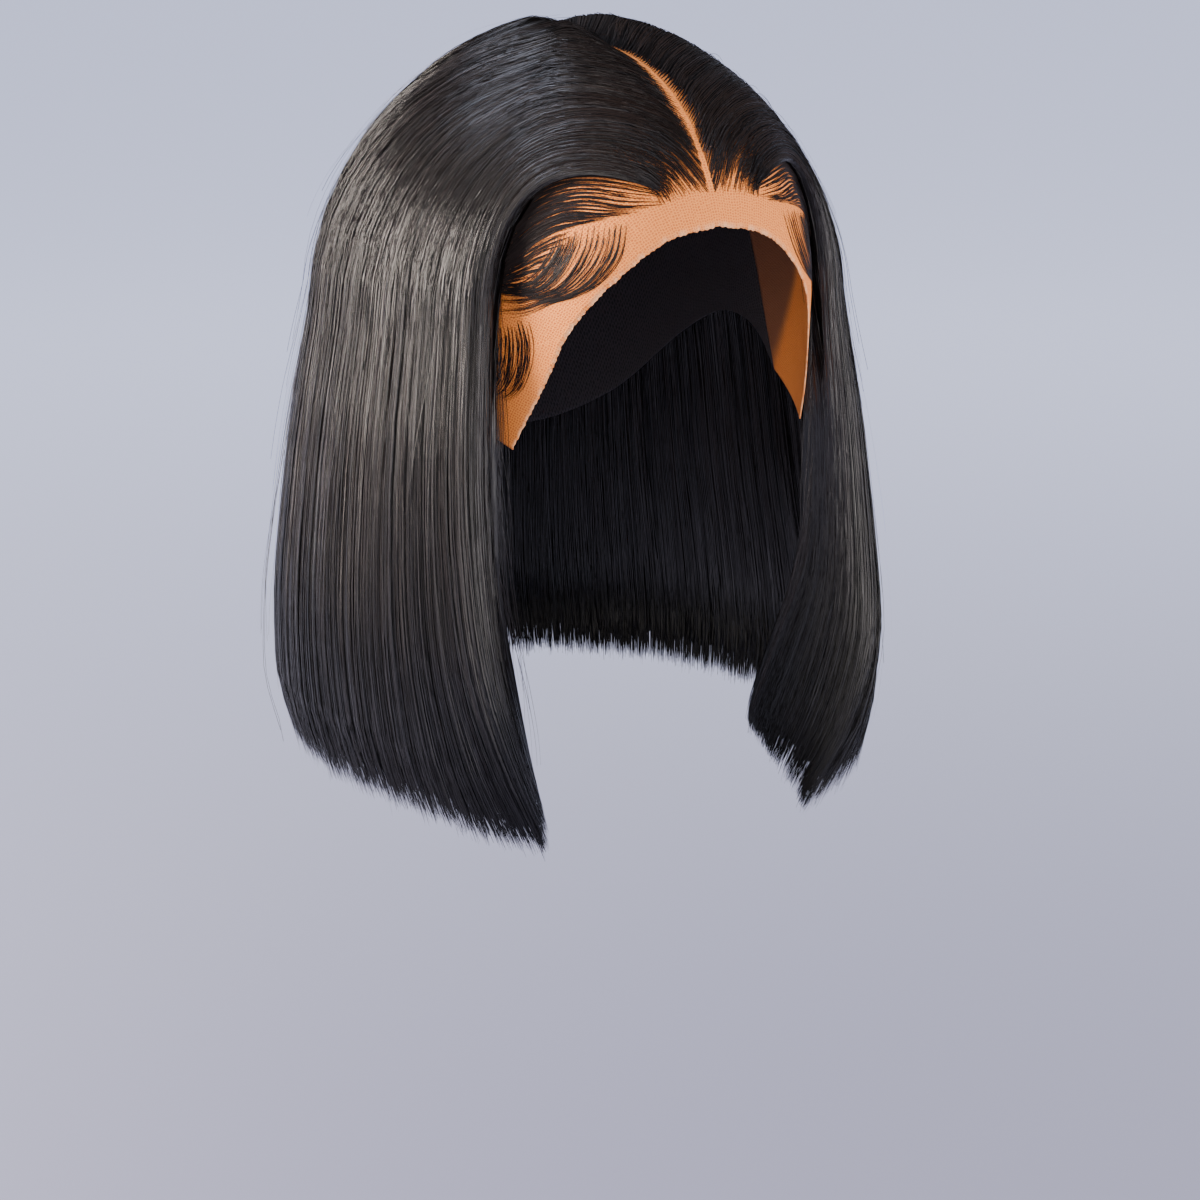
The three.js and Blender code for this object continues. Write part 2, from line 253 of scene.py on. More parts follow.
def hairDepth(number, share):  # underside point, way out, and heights of the outside and inside
    number, share = np.broadcast_arrays(np.asarray(number, float), np.asarray(share, float))
    q = onPath(number, share)
    hangs, low = q[..., 2] < 0, np.maximum(-q[..., 2], 0)
    full = onHair(q)
    full[..., 2] -= longerAt(number) * low**1.5
    j, f = sampleAt(share)
    onEdge = edgeLine[j] * (1 - f) + edgeLine[j + 1] * f
    under = settled(mix(q, onEdge, 1 - smoothStep(number, 0, edgeReach)[..., None]))
    under[..., 2] = np.where(hangs, q[..., 2], under[..., 2])
    base = onHead(under, wall["cap"] + wall["clearance"])
    base[..., 2] = np.where(hangs, full[..., 2], base[..., 2])
    base = drawnIn(base, hair["edgeTurn"] * (1 - smoothStep(number, 0, 0.9)) * smoothStep(low, 0.5, 1))
    corner = hair["cornerTurn"] * (1 - smoothStep(number, 0.9, 2.6))
    full = drawnIn(full, corner * smoothStep(low, 0.65, 1.05))
    way = full - base
    length = np.linalg.norm(way, axis=-1)
    room = length * swellAt(number)
    rise = smoothStep(share / riseAt(number), 0, 1)
    rise = np.maximum(rise, hair["crownShut"] * crownward(number))
    hanging = smoothStep(share, 0.4, 0.65)
    thin = mix(1, hair["tipShare"], smoothStep(share, 0.72, 1))
    thin = thin * mix(1, hair["edgeShare"], hanging * (1 - smoothStep(number, 0, hair["edgePaths"])))
    outer = hair["rootDepth"] + (room - hair["rootDepth"]) * rise
    inner = np.maximum(room - hair["thickness"] * thin, 0) * rise
    return base, way / length[..., None], outer, inner


def meshFrom(name, points, faces, uv=None, tone=None, normals=None, smooth=True, extra=None):
    mesh = bpy.data.meshes.new(name)
    mesh.vertices.add(len(points))
    mesh.vertices.foreach_set("co", (np.asarray(points) * mm).astype(np.float32).ravel())
    corners = faces.shape[1]
    mesh.loops.add(faces.size)
    mesh.loops.foreach_set("vertex_index", faces.astype(np.int32).ravel())
    mesh.polygons.add(len(faces))
    mesh.polygons.foreach_set("loop_start", np.arange(0, faces.size, corners, dtype=np.int32))
    mesh.polygons.foreach_set("use_smooth", np.full(len(faces), smooth))
    if uv is not None:
        layer = mesh.uv_layers.new(name="UVMap")
        layer.data.foreach_set("uv", uv[faces.ravel()].astype(np.float32).ravel())
    values = dict(extra or {}, **({} if tone is None else {"tone": tone}))
    for key, value in values.items():
        mesh.attributes.new(key, "FLOAT", "POINT").data.foreach_set("value", value.astype(np.float32))
    mesh.update(calc_edges=True)
    if normals is not None:
        mesh.normals_split_custom_set_from_vertices(normals.astype(np.float32).tolist())
    piece = bpy.data.objects.new(name, mesh)
    bpy.context.scene.collection.objects.link(piece)
    return piece


def joined(parts):  # strands of several lots with their own sample counts, as one set of arrays
    points, faces, uvs, tones, normals, start = [], [], [], [], [], 0
    for part in parts:
        points.append(part["points"])
        faces.append(part["faces"] + start)
        uvs.append(part["uv"])
        tones.append(part["tone"])
        normals.append(part["normals"])
        start += len(part["points"])
    return dict(
        points=np.vstack(points),
        faces=np.vstack(faces),
        uv=np.vstack(uvs),
        tone=np.concatenate(tones),
        normals=np.vstack(normals),
    )


def mirroredX(part):
    flipped = {key: part[key] * np.array([-1, 1, 1]) for key in ("points", "normals") if key in part}
    return {**part, **flipped, "faces": part["faces"][:, ::-1]}


def ribbons(line, out, width, twist, tone, roundness=50):
    # line: strands x samples x 3, out: which way is up off the hair, width and twist per strand.
    # A strand is flat, and its normals lean to both sides so that it takes light as a round fibre.
    strands, samples = line.shape[:2]
    along = unit(np.gradient(line, axis=1))
    out = unit(out - along * (out * along).sum(-1, keepdims=True))
    side = np.cross(along, out)
    c, s = np.cos(twist)[..., None], np.sin(twist)[..., None]
    side, out = side * c - out * s, out * c + side * s
    half = side * (width / 2)[..., None]
    points = np.stack([line - half, line + half], 2).reshape(-1, 3)
    lean = math.radians(roundness)
    flat, aside = out * math.cos(lean), side * math.sin(lean)
    normals = np.stack([flat - aside, flat + aside], 2)
    first = (np.arange(strands)[:, None] * samples + np.arange(samples - 1)[None, :]) * 2
    first = first.ravel()[:, None]
    faces = first + np.array([[0, 1, 3, 2]])
    across = np.tile([0.0, 1.0], strands * samples)
    down = np.repeat(np.tile(np.linspace(0, 1, samples), strands), 2)
    return dict(
        points=points,
        faces=faces,
        uv=np.stack([across, down], -1),
        tone=np.repeat(np.broadcast_to(tone, (strands, samples)).ravel(), 2),
        normals=normals.reshape(-1, 3),
    )


def wallFaces(rows, columns):  # closed wall between two grids of points, one listed after the other
    grid = rows * columns
    r, c = np.meshgrid(np.arange(rows - 1), np.arange(columns - 1), indexing="ij")
    a = (r * columns + c).ravel()
    top = np.arange(columns - 1)
    low = (rows - 1) * columns + top
    left = np.arange(rows - 1) * columns
    right = left + columns - 1
    sides = [
        np.stack([a, a + 1, a + 1 + columns, a + columns], -1),
        np.stack([a, a + columns, a + 1 + columns, a + 1], -1) + grid,
        np.stack([top + 1, top, grid + top, grid + top + 1], -1),
        np.stack([low, low + 1, grid + low + 1, grid + low], -1),
        np.stack([left, left + columns, grid + left + columns, grid + left], -1),
        np.stack([right + columns, right, grid + right, grid + right + columns], -1),
    ]
    return np.vstack(sides)


def sheetGrid(points, thickness, uv):
    # closed thin wall over a grid of points, rows x columns x 3, with its second face moved inwards
    across, down = np.gradient(points, axis=1), np.gradient(points, axis=0)
    inward = unit(np.cross(down, across))
    if (inward * (points - np.array([0, 0, -60]))).sum() > 0:
        inward = -inward
    both = np.vstack([points.reshape(-1, 3), (points + inward * thickness).reshape(-1, 3)])
    return both, wallFaces(*points.shape[:2]), np.vstack([uv.reshape(-1, 2)] * 2)


def colour(code):  # sRGB hex to linear
    parts = [int(code[i : i + 2], 16) / 255 for i in (1, 3, 5)]
    return tuple(p / 12.92 if p <= 0.04045 else ((p + 0.055) / 1.055) ** 2.4 for p in parts) + (1,)


def addNode(tree, kind, settings=None, links=None):
    node = tree.nodes.new(kind)
    for key, value in (settings or {}).items():
        if isinstance(key, str) and hasattr(node, key):
            setattr(node, key, value)
        else:
            node.inputs[key].default_value = value
    for key, source in (links or {}).items():
        tree.links.new(source, node.inputs[key])
    return node


def newMaterial(name):
    material = bpy.data.materials.new(name)
    material.use_nodes = True
    tree = material.node_tree
    tree.nodes.clear()
    return material, tree


def finishMaterial(tree, shader):
    addNode(tree, "ShaderNodeOutputMaterial", links={"Surface": shader.outputs["BSDF"]})


strandLook = dict(dark="#040304", light="#211b1a", roughness=0.25, ior=1.55, shine=0.36)  # ior of keratin
fineLook = dict(dark="#0d0908", light="#2a1e19", roughness=0.45, ior=1.55, shine=0.12)


def strandMaterial(name, look):
    # Human hair, straightened and smoothed: close to black, with a slight change of tone from strand to
    # strand and the long soft shine of flat-lying cuticle. On the main strands the tone attribute also
    # carries painted shade, darker at the ends and deeper in the mass.
    material, tree = newMaterial(name)
    tone = addNode(tree, "ShaderNodeAttribute", {"attribute_name": "tone"})
    ramp = addNode(tree, "ShaderNodeMix", {"data_type": "RGBA"}, {0: tone.outputs["Fac"]})
    ramp.inputs[6].default_value = colour(look["dark"])
    ramp.inputs[7].default_value = colour(look["light"])
    uv = addNode(tree, "ShaderNodeUVMap", {"uv_map": "UVMap"})
    # one bump every 6 mm of the strand, because a fibre's slight waves break its shine into dashes
    pace = {"operation": "MULTIPLY", 1: (0.6, 50.0, 0)}
    row = addNode(tree, "ShaderNodeVectorMath", pace, {0: uv.outputs["UV"]})
    shift = addNode(tree, "ShaderNodeVectorMath", {"operation": "SCALE", 0: (431.0, 173.0, 97.0)})
    tree.links.new(tone.outputs["Fac"], shift.inputs["Scale"])
    both = {0: row.outputs[0], 1: shift.outputs[0]}
    spot = addNode(tree, "ShaderNodeVectorMath", {"operation": "ADD"}, both)
    dashes = addNode(tree, "ShaderNodeTexNoise", {"Scale": 1.0, "Detail": 1.0}, {"Vector": spot.outputs[0]})
    waviness = {"Strength": 0.12, "Distance": 0.0008}
    bump = addNode(tree, "ShaderNodeBump", waviness, {"Height": dashes.outputs["Fac"]})
    shader = addNode(
        tree,
        "ShaderNodeBsdfPrincipled",
        {"Roughness": look["roughness"], "IOR": look["ior"], "Specular IOR Level": look["shine"]},
        {"Base Color": ramp.outputs[2], "Normal": bump.outputs["Normal"]},
    )
    finishMaterial(tree, shader)
    return material


hairFibre = strandMaterial("humanHairStraightened", strandLook)
fineFibre = strandMaterial("humanHairFineRoots", fineLook)  # single fibres reflect less than a smooth mass


def hairBodyMaterial():
    # The same hair deeper in the mass, painted darker as shade, with streaks 0.8 mm apart that run down the
    # strands.
    material, tree = newMaterial("humanHairInnerMass")
    uv = addNode(tree, "ShaderNodeUVMap", {"uv_map": "UVMap"})
    stretch = addNode(tree, "ShaderNodeMapping", {"Scale": (380.0, 3.0, 1.0)}, {"Vector": uv.outputs["UV"]})
    fine = {"Scale": 1.0, "Detail": 2.0}
    streaks = addNode(tree, "ShaderNodeTexNoise", fine, {"Vector": stretch.outputs["Vector"]})
    ramp = addNode(tree, "ShaderNodeMix", {"data_type": "RGBA"}, {0: streaks.outputs["Fac"]})
    ramp.inputs[6].default_value = colour("#070506")
    ramp.inputs[7].default_value = colour("#181213")
    grooves = {"Strength": 0.6, "Distance": 0.0006}
    bump = addNode(tree, "ShaderNodeBump", grooves, {"Height": streaks.outputs["Fac"]})
    shader = addNode(
        tree,
        "ShaderNodeBsdfPrincipled",
        {"Roughness": 0.5, "IOR": strandLook["ior"], "Specular IOR Level": strandLook["shine"]},
        {"Base Color": ramp.outputs[2], "Normal": bump.outputs["Normal"]},
    )
    finishMaterial(tree, shader)
    return material


hairMass = hairBodyMaterial()


def netMaterial(name, dark, light, pitch, roughness, edge=None):
    # Knitted net: fine rows of holes a millimetre or so apart, matt thread.
    material, tree = newMaterial(name)
    uv = addNode(tree, "ShaderNodeUVMap", {"uv_map": "UVMap"})
    size = {"Scale": (1 / pitch, 1 / pitch, 1.0)}
    scale = addNode(tree, "ShaderNodeMapping", size, {"Vector": uv.outputs["UV"]})
    cells = addNode(
        tree,
        "ShaderNodeTexVoronoi",
        {"feature": "DISTANCE_TO_EDGE", "Scale": 1.0, "Randomness": 0.35},
        {"Vector": scale.outputs["Vector"]},
    )
    thread = addNode(
        tree,
        "ShaderNodeMapRange",
        {"From Min": 0.04, "From Max": 0.3, "To Min": 1.0, "To Max": 0.0},
        {"Value": cells.outputs["Distance"]},
    )
    ramp = addNode(tree, "ShaderNodeMix", {"data_type": "RGBA"}, {0: thread.outputs["Result"]})
    ramp.inputs[6].default_value = colour(dark)
    ramp.inputs[7].default_value = colour(light)
    shade = ramp.outputs[2]
    if edge:
        rim = addNode(tree, "ShaderNodeAttribute", {"attribute_name": "tone"})
        pale = addNode(tree, "ShaderNodeMix", {"data_type": "RGBA"}, {0: rim.outputs["Fac"], 6: shade})
        pale.inputs[7].default_value = colour(edge)
        under = addNode(tree, "ShaderNodeAttribute", {"attribute_name": "covered"})
        layers = {0: under.outputs["Fac"], 6: pale.outputs[2]}
        brown = addNode(tree, "ShaderNodeMix", {"data_type": "RGBA"}, layers)
        brown.inputs[7].default_value = colour("#573b2b")  # the hair behind it shows through the holes, and it carries painted shade under the hair
        shade = brown.outputs[2]
    raised = {"Strength": 0.5, "Distance": 0.0003}
    bump = addNode(tree, "ShaderNodeBump", raised, {"Height": thread.outputs["Result"]})
    shader = addNode(
        tree,
        "ShaderNodeBsdfPrincipled",
        {"Roughness": roughness, "IOR": 1.5},
        {"Base Color": shade, "Normal": bump.outputs["Normal"]},
    )
    finishMaterial(tree, shader)
    return material


laceNet = netMaterial("nylonLaceNetKnotted", "#cb6620", "#f3963f", 1.1, 0.75, edge="#f5b987")
capNet = netMaterial("polyesterStretchNetKnitted", "#0d0b0c", "#322c2e", 1.6, 0.8)


def dress(piece, material, slot, *nodes):
    piece.data.materials.append(material)
    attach(piece, "root")
    if nodes:
        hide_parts(*nodes)
    return piece


def strandPiece(name, part, material, *nodes):
    piece = meshFrom(name, part["points"], part["faces"], part["uv"], part["tone"], part["normals"])
    return dress(piece, material, "hair", *nodes)


def headPlace(angle, height):  # height below the crown, as a share of the dome's height
    share = 1 + height
    a, up = np.radians(angle), np.maximum(share, 0)
    r = np.maximum(1 - up ** head["fullness"], 0) ** (1 / head["fullness"])
    above = settled(np.stack([-np.sin(a) * r, -np.cos(a) * r, up], -1))
    below = place(angle, 90 + 0 * share)
    below[..., 2] = share
    return np.where((share > 0)[..., None], above, below)


def bothSides(placeAt):  # from the right ear (-1) over the middle (0) to the left ear (1)
    def at(along):
        q = placeAt(np.abs(along))
        q[..., 0] *= -np.sign(along)
        return q

    return at


laceEdgeAngle = curveThrough([0, 0.25, 0.5, 0.7, 0.85, 1], [0, 17, 32, 42, 48, 57])
laceEdgeHeight = curveThrough(
    [0, 0.25, 0.5, 0.7, 0.85, 1], [-0.653, -0.705, -0.874, -1.063, -1.274, -1.547]
)
seamSwing = curveThrough([0, 0.4, 0.75, 1], [0, 42, 79, 113])
seamBack = curveThrough([0, 0.4, 0.75, 1], [0.1, 0.09, 0, -0.22])
napeAngle = curveThrough([0, 0.3, 0.5, 0.7, 0.85, 1], [180, 156, 135, 114, 100, 86])
napeHeight = curveThrough([0, 0.3, 0.5, 0.7, 0.85, 1], [-1.716, -1.737, -1.6, -1.305, -1.189, -1.221])


def seamPlace(share, back=0):
    swing = np.radians(seamSwing(share))
    return settled(np.stack([-np.sin(swing), seamBack(share) + back, np.cos(swing)], -1))


laceEdge = bothSides(lambda share: headPlace(laceEdgeAngle(share), laceEdgeHeight(share)))
laceSeam = bothSides(lambda share: seamPlace(share))
capSeam = bothSides(lambda share: seamPlace(share, 0.3 / head["halfWidth"]))
capNape = bothSides(lambda share: headPlace(napeAngle(share), napeHeight(share)))

lace = dict(columns=320, rows=36, scallop=0.4, scallopPitch=2.4, rim=0.45)


def headPanel(fromLine, toLine, columns, rows, out):
    along = np.linspace(-1, 1, columns + 1)[None, :, None]
    down = np.linspace(0, 1, rows + 1)[:, None, None]
    q = settled(mix(fromLine(along[0, :, 0])[None], toLine(along[0, :, 0])[None], down))
    return onHead(q, out), along[..., 0] + 0 * down[..., 0], down[..., 0] + 0 * along[..., 0]


def millimetreUv(points):
    across = runAlong(points[0])
    steps = np.linalg.norm(np.diff(points, axis=0), axis=-1)
    down = np.vstack([np.zeros(points.shape[1]), np.cumsum(steps, axis=0)])
    return np.stack([np.broadcast_to(across, down.shape), down], -1)


points, along, down = headPanel(laceEdge, laceSeam, lace["columns"], lace["rows"], wall["lace"])
rng = np.random.default_rng(11)
edgeRun = runAlong(points[0])
scallop = lace["scallop"] * (np.abs(np.sin(math.pi * edgeRun / lace["scallopPitch"])) - 0.5)
scallop = scallop + 0.25 * waves(rng)(edgeRun / 1.7)
inwards = unit(points[1] - points[0])
fade = np.clip(1 - down * 12, 0, 1)[..., None]
points = points + fade * (inwards * scallop[:, None])[None]
uv = millimetreUv(points)
both, faces, uv = sheetGrid(points, 0.5, uv)
rim = np.exp(-np.maximum(uv[:, 1], 0) / lace["rim"]) * (0.5 + 0.5 * waves(rng)(uv[:, 0] / 1.1))
# degrees down from the crown to the hairline, by degrees aside from the middle of the forehead
hairlineTilt = curveThrough(
    [0, 5.7, 10.5, 16, 21.1, 27.6, 33, 42.3, 54.3, 59.5, 75, 90],
    [62.5, 63, 63.5, 64.6, 65.6, 66.9, 68.4, 72, 79.5, 92, 125, 130],
)
aside = np.degrees(np.arctan2(np.abs(both[:, 0]), -both[:, 1]))
fromTop = np.degrees(np.arctan2(np.hypot(both[:, 0], both[:, 1]), both[:, 2] + head["dome"]))
# where hair lies over the lace it turns brown: hair seen through the holes, with painted shade under the
# hair
covered = 0.85 * smoothStep(hairlineTilt(np.clip(aside, 0, 90)) - fromTop, 3, 17)
covered = covered * smoothStep(np.abs(both[:, 0]), 6, 17)
laceFront = meshFrom("laceFront", both, faces, uv, np.clip(rim, 0, 1), extra={"covered": covered})
dress(laceFront, laceNet, "lace", "lace_front")

points, along, down = headPanel(capSeam, capNape, 150, 60, wall["cap"])
uv = millimetreUv(points)
both, faces, uv = sheetGrid(points, 0.9, uv)
stretchCap = dress(meshFrom("stretchCap", both, faces, uv, np.zeros(len(uv))), capNet, "cap", "stretch_cap")
print("lace front and stretch cap made")


comb = dict(
    topStrands=4150,
    topDepth=2.6,  # how deep the top strands lie below the outside
    innerStrands=2300,
    edgeStrands=900,
    hemStrands=2600,
    width=(0.22, 0.46),
    relief=0.45,  # soft waves across the combed surface
    valley=(0.5, 1.7),  # depth of the comb's grooves
    valleyGap=0.17,  # paths between them
    ragged=0.7,  # how uneven the cut is
    wisp=0.24,  # how far the last ends gather
    bundle=0.085,  # root bundles along the parting, in paths
    clump=0.075,  # locks of the loose ends, in paths
)
# share of the length over which the hair thickens from single roots to a full mass
rootZoneAt = curveThrough(
    [0, 0.5, 1.2, 2, 2.7, 4, 6, 7.5, 10], [0.26, 0.22, 0.15, 0.075, 0.05, 0.042, 0.028, 0.014, 0.012]
)
# stations along a strand, closer over the dome and in the last curve
stations = np.concatenate(
    [np.linspace(0, 0.55, 14), np.linspace(0.55, 0.76, 4)[1:], np.linspace(0.76, 1, 8)[1:]]
)


def evenNumbers(rng, count, share=0.8, low=0.0, high=None):
    # path numbers spaced evenly by the length of the hanging edge, a little shuffled
    high = lastPath if high is None else high
    n = np.linspace(low, high, 400)
    base, way, outer, inner = hairDepth(n, np.full(400, share))
    run = runAlong(base + way * outer[:, None])
    at = (np.arange(count) + rng.uniform(-0.5, 0.5, count) + 0.5) / count * run[-1]
    return np.interp(at, run, n)


def gathered(rng, number, size):
    # clump middle of each strand, for irregular clumps of about this size
    edges = np.cumsum(size * rng.uniform(0.5, 1.5, int(12 / size) + 8)) - size
    i = np.clip(np.searchsorted(edges, number) - 1, 0, len(edges) - 2)
    return (edges[i] + edges[i + 1]) / 2, i


def rootBundle(number):  # the same small bundles of roots for every set of strands
    return gathered(np.random.default_rng(7), number, comb["bundle"])[0]


def strandLines(number, share, height, grooves=0, rooted=True):
    # height: function of (outer, inner) giving the height above the underside
    base, way, outer, inner = hairDepth(number, share)
    lift = height(outer, inner) + grooves
    if rooted:
        climb = mix(10, 3, crownward(number))  # millimetres of strand, shorter on the crown
        lift = mix(-1.3, lift, smoothStep((share - share[:, :1]) * 340 / climb, 0, 1))
    line = base + way * lift[..., None]
    step = 0.015
    b0, w0, o0, _ = hairDepth(np.maximum(number - step, 0), share)
    b1, w1, o1, _ = hairDepth(np.minimum(number + step, lastPath), share)
    across = (b1 + w1 * o1[..., None]) - (b0 + w0 * o0[..., None])
    out = np.cross(across, np.gradient(line, axis=1))
    out = unit(out) * np.sign((out * way).sum(-1, keepdims=True) + 1e-9)
    weak = smoothStep(np.linalg.norm(across, axis=-1), 0.02, 0.12)[..., None]
    return line, unit(mix(way, out, weak))


def sideOfHair(rng):
    relief = [waves(rng), waves(rng), waves(rng)]
    toneNoise = [waves(rng), waves(rng)]
    valleys = np.cumsum(comb["valleyGap"] * rng.uniform(0.35, 1.65, 140)) - 0.5
    valleyDepth = rng.uniform(*comb["valley"], 140) * (rng.uniform(size=140) < 0.75)
    valleyPhase, valleyPace = rng.uniform(0, 6.28, 140), rng.uniform(5, 12, 140)

    def grooveAt(number, share):
        soft = relief[0](number * 5) + 0.7 * relief[1](number * 17) + 0.5 * relief[2](number * 45)
        i = np.clip(np.searchsorted(valleys, number), 1, 139)
        i = np.where(number - valleys[i - 1] < valleys[i] - number, i - 1, i)
        near = np.exp(-(((number - valleys[i]) / 0.024) ** 2))
        deep = valleyDepth[i] * (0.55 + 0.45 * np.sin(valleyPace[i] * share + valleyPhase[i]))
        over = mix(1, 0.3, smoothStep(share, 0.3, 0.62)) * smoothStep(share, 0.03, 0.14)
        return (comb["relief"] * soft - deep * near) * over

    def toneAt(number):
        broad = 0.45 + 0.2 * toneNoise[0](number * 7) + 0.16 * toneNoise[1](number * 33)
        return np.clip(broad + rng.normal(0, 0.3, len(number)), 0, 1)

    def travel(number, share, amount):
        count = len(number)
        phase, pace = rng.uniform(0, 6.28, (count, 1)), rng.uniform(3.0, 9.0, (count, 1))
        sway = rng.normal(0, amount, (count, 1)) * np.sin(pace * share + phase)
        n = number[:, None] + sway * smoothStep(share, 0.02, 0.3)
        rootMiddle = rootBundle(number)
        atRoot = 1 - smoothStep(share, 0.015, mix(0.13, 0.055, smoothStep(number, 1.5, 2.6))[:, None])
        n = mix(n, mix(rootMiddle, number, 0.16)[:, None], 0.92 * atRoot)
        tipMiddle, _ = gathered(rng, number, comb["clump"])
        atTip = smoothStep(share, 0.9, 1.01) * comb["wisp"] * rng.uniform(0, 1, (count, 1))
        return np.clip(mix(n, tipMiddle[:, None], atTip), 0, lastPath)

    def endShare(number, loose):
        _, clump = gathered(np.random.default_rng(5), number, comb["clump"])
        uneven = rng.normal(0, 0.6, 400)[clump] + rng.normal(0, comb["ragged"], len(number))
        return 1 + (uneven - rng.exponential(loose, len(number))) / 200

    def tapered(width, share, end, point):
        return width * mix(1, point, smoothStep(share / end, 0.945, 1))

    def lot(number, share, end, height, widths, twist, tone, grooves=0, rooted=True, facing=1):
        line, out = strandLines(number, share, height, grooves, rooted)
        width = tapered(rng.uniform(*widths, (len(share), 1)), share, end[:, None], 0.18)
        if rooted:
            width = width * mix(0.5, 1, smoothStep(share - share[:, :1], 0, 0.05))
        # painted shade: the ends are painted darker, down to 0.15 of their tone, where the hair turns in
        # under at the cut
        shade = np.clip(tone, 0, 1)[:, None] * mix(1, 0.15, smoothStep(share, 0.68, 0.93))
        return ribbons(line, out * facing, width, twist + 0 * share, shade)

    # top strands, from the parting to the cut
    count = comb["topStrands"]
    number = evenNumbers(rng, count)
    end = endShare(number, 0.6)
    end = np.where(rng.uniform(size=count) < 0.06, end - rng.uniform(0, 0.08, count), end)
    start = rootZoneAt(number) * rng.uniform(0, 1, count) ** mix(0.5, 1.25, smoothStep(number, 1.8, 2.8))
    start = np.where(rng.uniform(size=count) < 0.03, 0.02 * rng.uniform(size=count), start)
    share = mix(start[:, None], end[:, None], stations[None, :])
    n = travel(number, share, 0.03)
    stray = rng.uniform(size=count) < 0.05
    n = n + np.where(stray, rng.normal(0, 0.2, count), 0)[:, None] * smoothStep(share, 0.03, 0.5)
    n = np.clip(n, 0, lastPath)
    depth = comb["topDepth"] * rng.uniform(0, 1, count) ** 1.4 - np.where(stray, 0.6, 0)
    grooves = grooveAt(n, share)
    slope = (grooveAt(n + 0.01, share) - grooveAt(n - 0.01, share)) / 0.5
    twist = -np.arctan(slope) * 0.8 + rng.normal(0, 0.4, (count, 1))
    twist = twist + 0.15 * np.sin(share * 12 + rng.uniform(0, 6, (count, 1)))
    # painted shade: strands lying deeper below the outside are painted darker
    tone = toneAt(number) - 0.15 * depth / comb["topDepth"]
    height = lambda o, i: np.maximum(o - depth[:, None], 0.2)
    tops = lot(n, share, end, height, comb["width"], twist, tone, grooves)

    # strands on the inside of the hanging part
    count = comb["innerStrands"]
    number = evenNumbers(rng, count)
    end = endShare(number, 1.2)
    share = mix(0.36, end[:, None], np.linspace(0, 1, 13)[None, :])
    depth = rng.uniform(0, 1.8, (count, 1))
    twist = rng.normal(0, 0.3, (count, 1))
    n, tone = travel(number, share, 0.04), toneAt(number)
    height = lambda o, i: i + depth
    lots = [lot(n, share, end, height, (0.35, 0.7), twist, tone, rooted=False, facing=-1)]

    # strands through the thickness at the front edge, which curves over the temple and beside the face
    count = comb["edgeStrands"]
    number = 0.25 * rng.uniform(0, 1, count) ** 1.5
    end = endShare(number, 1.5)
    share = mix(rng.uniform(0.1, 0.32, (count, 1)), end[:, None], stations[None, :])
    deep = rng.uniform(0, 1, (count, 1))
    twist = rng.normal(0.5, 0.4, (count, 1))
    n, tone = travel(number, share, 0.03), toneAt(number)
    lots.append(lot(n, share, end, lambda o, i: mix(o - 0.3, i + 0.2, deep), (0.26, 0.5), twist, tone))

    # ends through the thickness of the cut
    count = comb["hemStrands"]
    number = evenNumbers(rng, count)
    end = endShare(number, 0.9)
    share = mix(0.8, end[:, None], np.linspace(0, 1, 9)[None, :])
    deep = rng.uniform(0.05, 1, (count, 1))
    twist = rng.normal(0, 0.5, (count, 1))
    n, tone = travel(number, share, 0.03), toneAt(number)
    lots.append(lot(n, share, end, lambda o, i: mix(o, i, deep), (0.24, 0.5), twist, tone, rooted=False))
    unders = joined(lots)

    # dark body that closes the mass under the strands
    evenly = evenNumbers(np.random.default_rng(1), 400)
    number = np.interp(np.linspace(0, 1, 97), np.linspace(0, 1, 400), evenly)
    number[0], number[-1] = 0.25, lastPath
    n, t = np.meshgrid(number, np.linspace(0, 1, 49))
    first = 1.25 * rootZoneAt(n)
    s = mix(first, 0.972, t)
    base, way, outer, inner = hairDepth(n, s)
    grow = smoothStep((s - first) / mix(0.11, 0.03, crownward(n)), 0, 1)
    top = mix(-0.6, outer - 3.4, grow)
    low = np.minimum(mix(-1.0, inner + 2.2, grow), top - 0.4)
    outside, inside = base + way * top[..., None], base + way * low[..., None]
    uv = np.stack([n / lastPath, s], -1).reshape(-1, 2)
    body = dict(
        points=np.vstack([outside.reshape(-1, 3), inside.reshape(-1, 3)]),
        faces=wallFaces(*n.shape),
        uv=np.vstack([uv, uv]),
    )
    return tops, unders, body


for side, seed in (("Right", 21), ("Left", 22)):
    node = "hair_" + side.lower()
    tops, unders, body = sideOfHair(np.random.default_rng(seed))
    if side == "Left":
        tops, unders, body = mirroredX(tops), mirroredX(unders), mirroredX(body)
    dress(meshFrom("hairBody" + side, body["points"], body["faces"], body["uv"]), hairMass, "hair", node)
    strandPiece("hairTop" + side, tops, hairFibre, node)
    strandPiece("hairUnder" + side, unders, hairFibre, node)
    print("hair", side.lower(), "made:", len(tops["faces"]) * 2, "+", len(unders["faces"]) * 2, "triangles")


def headArc(points):  # smooth line through (angle, tilt) marks; tilts past 90 hang below ear level
    marks = np.array(points, float)
    run = runAlong(marks)
    run /= run[-1]
    angle, tilt = curveThrough(run, marks[:, 0]), curveThrough(run, marks[:, 1])
    return lambda s: np.stack([angle(s), tilt(s)], -1)


def onLace(marks, out):
    angle, tilt = marks[..., 0], marks[..., 1]
    q = place(angle, np.minimum(tilt, 90))
    q[..., 2] = np.where(tilt > 90, -(tilt - 90) / 60, q[..., 2])
    return onHead(q, out)


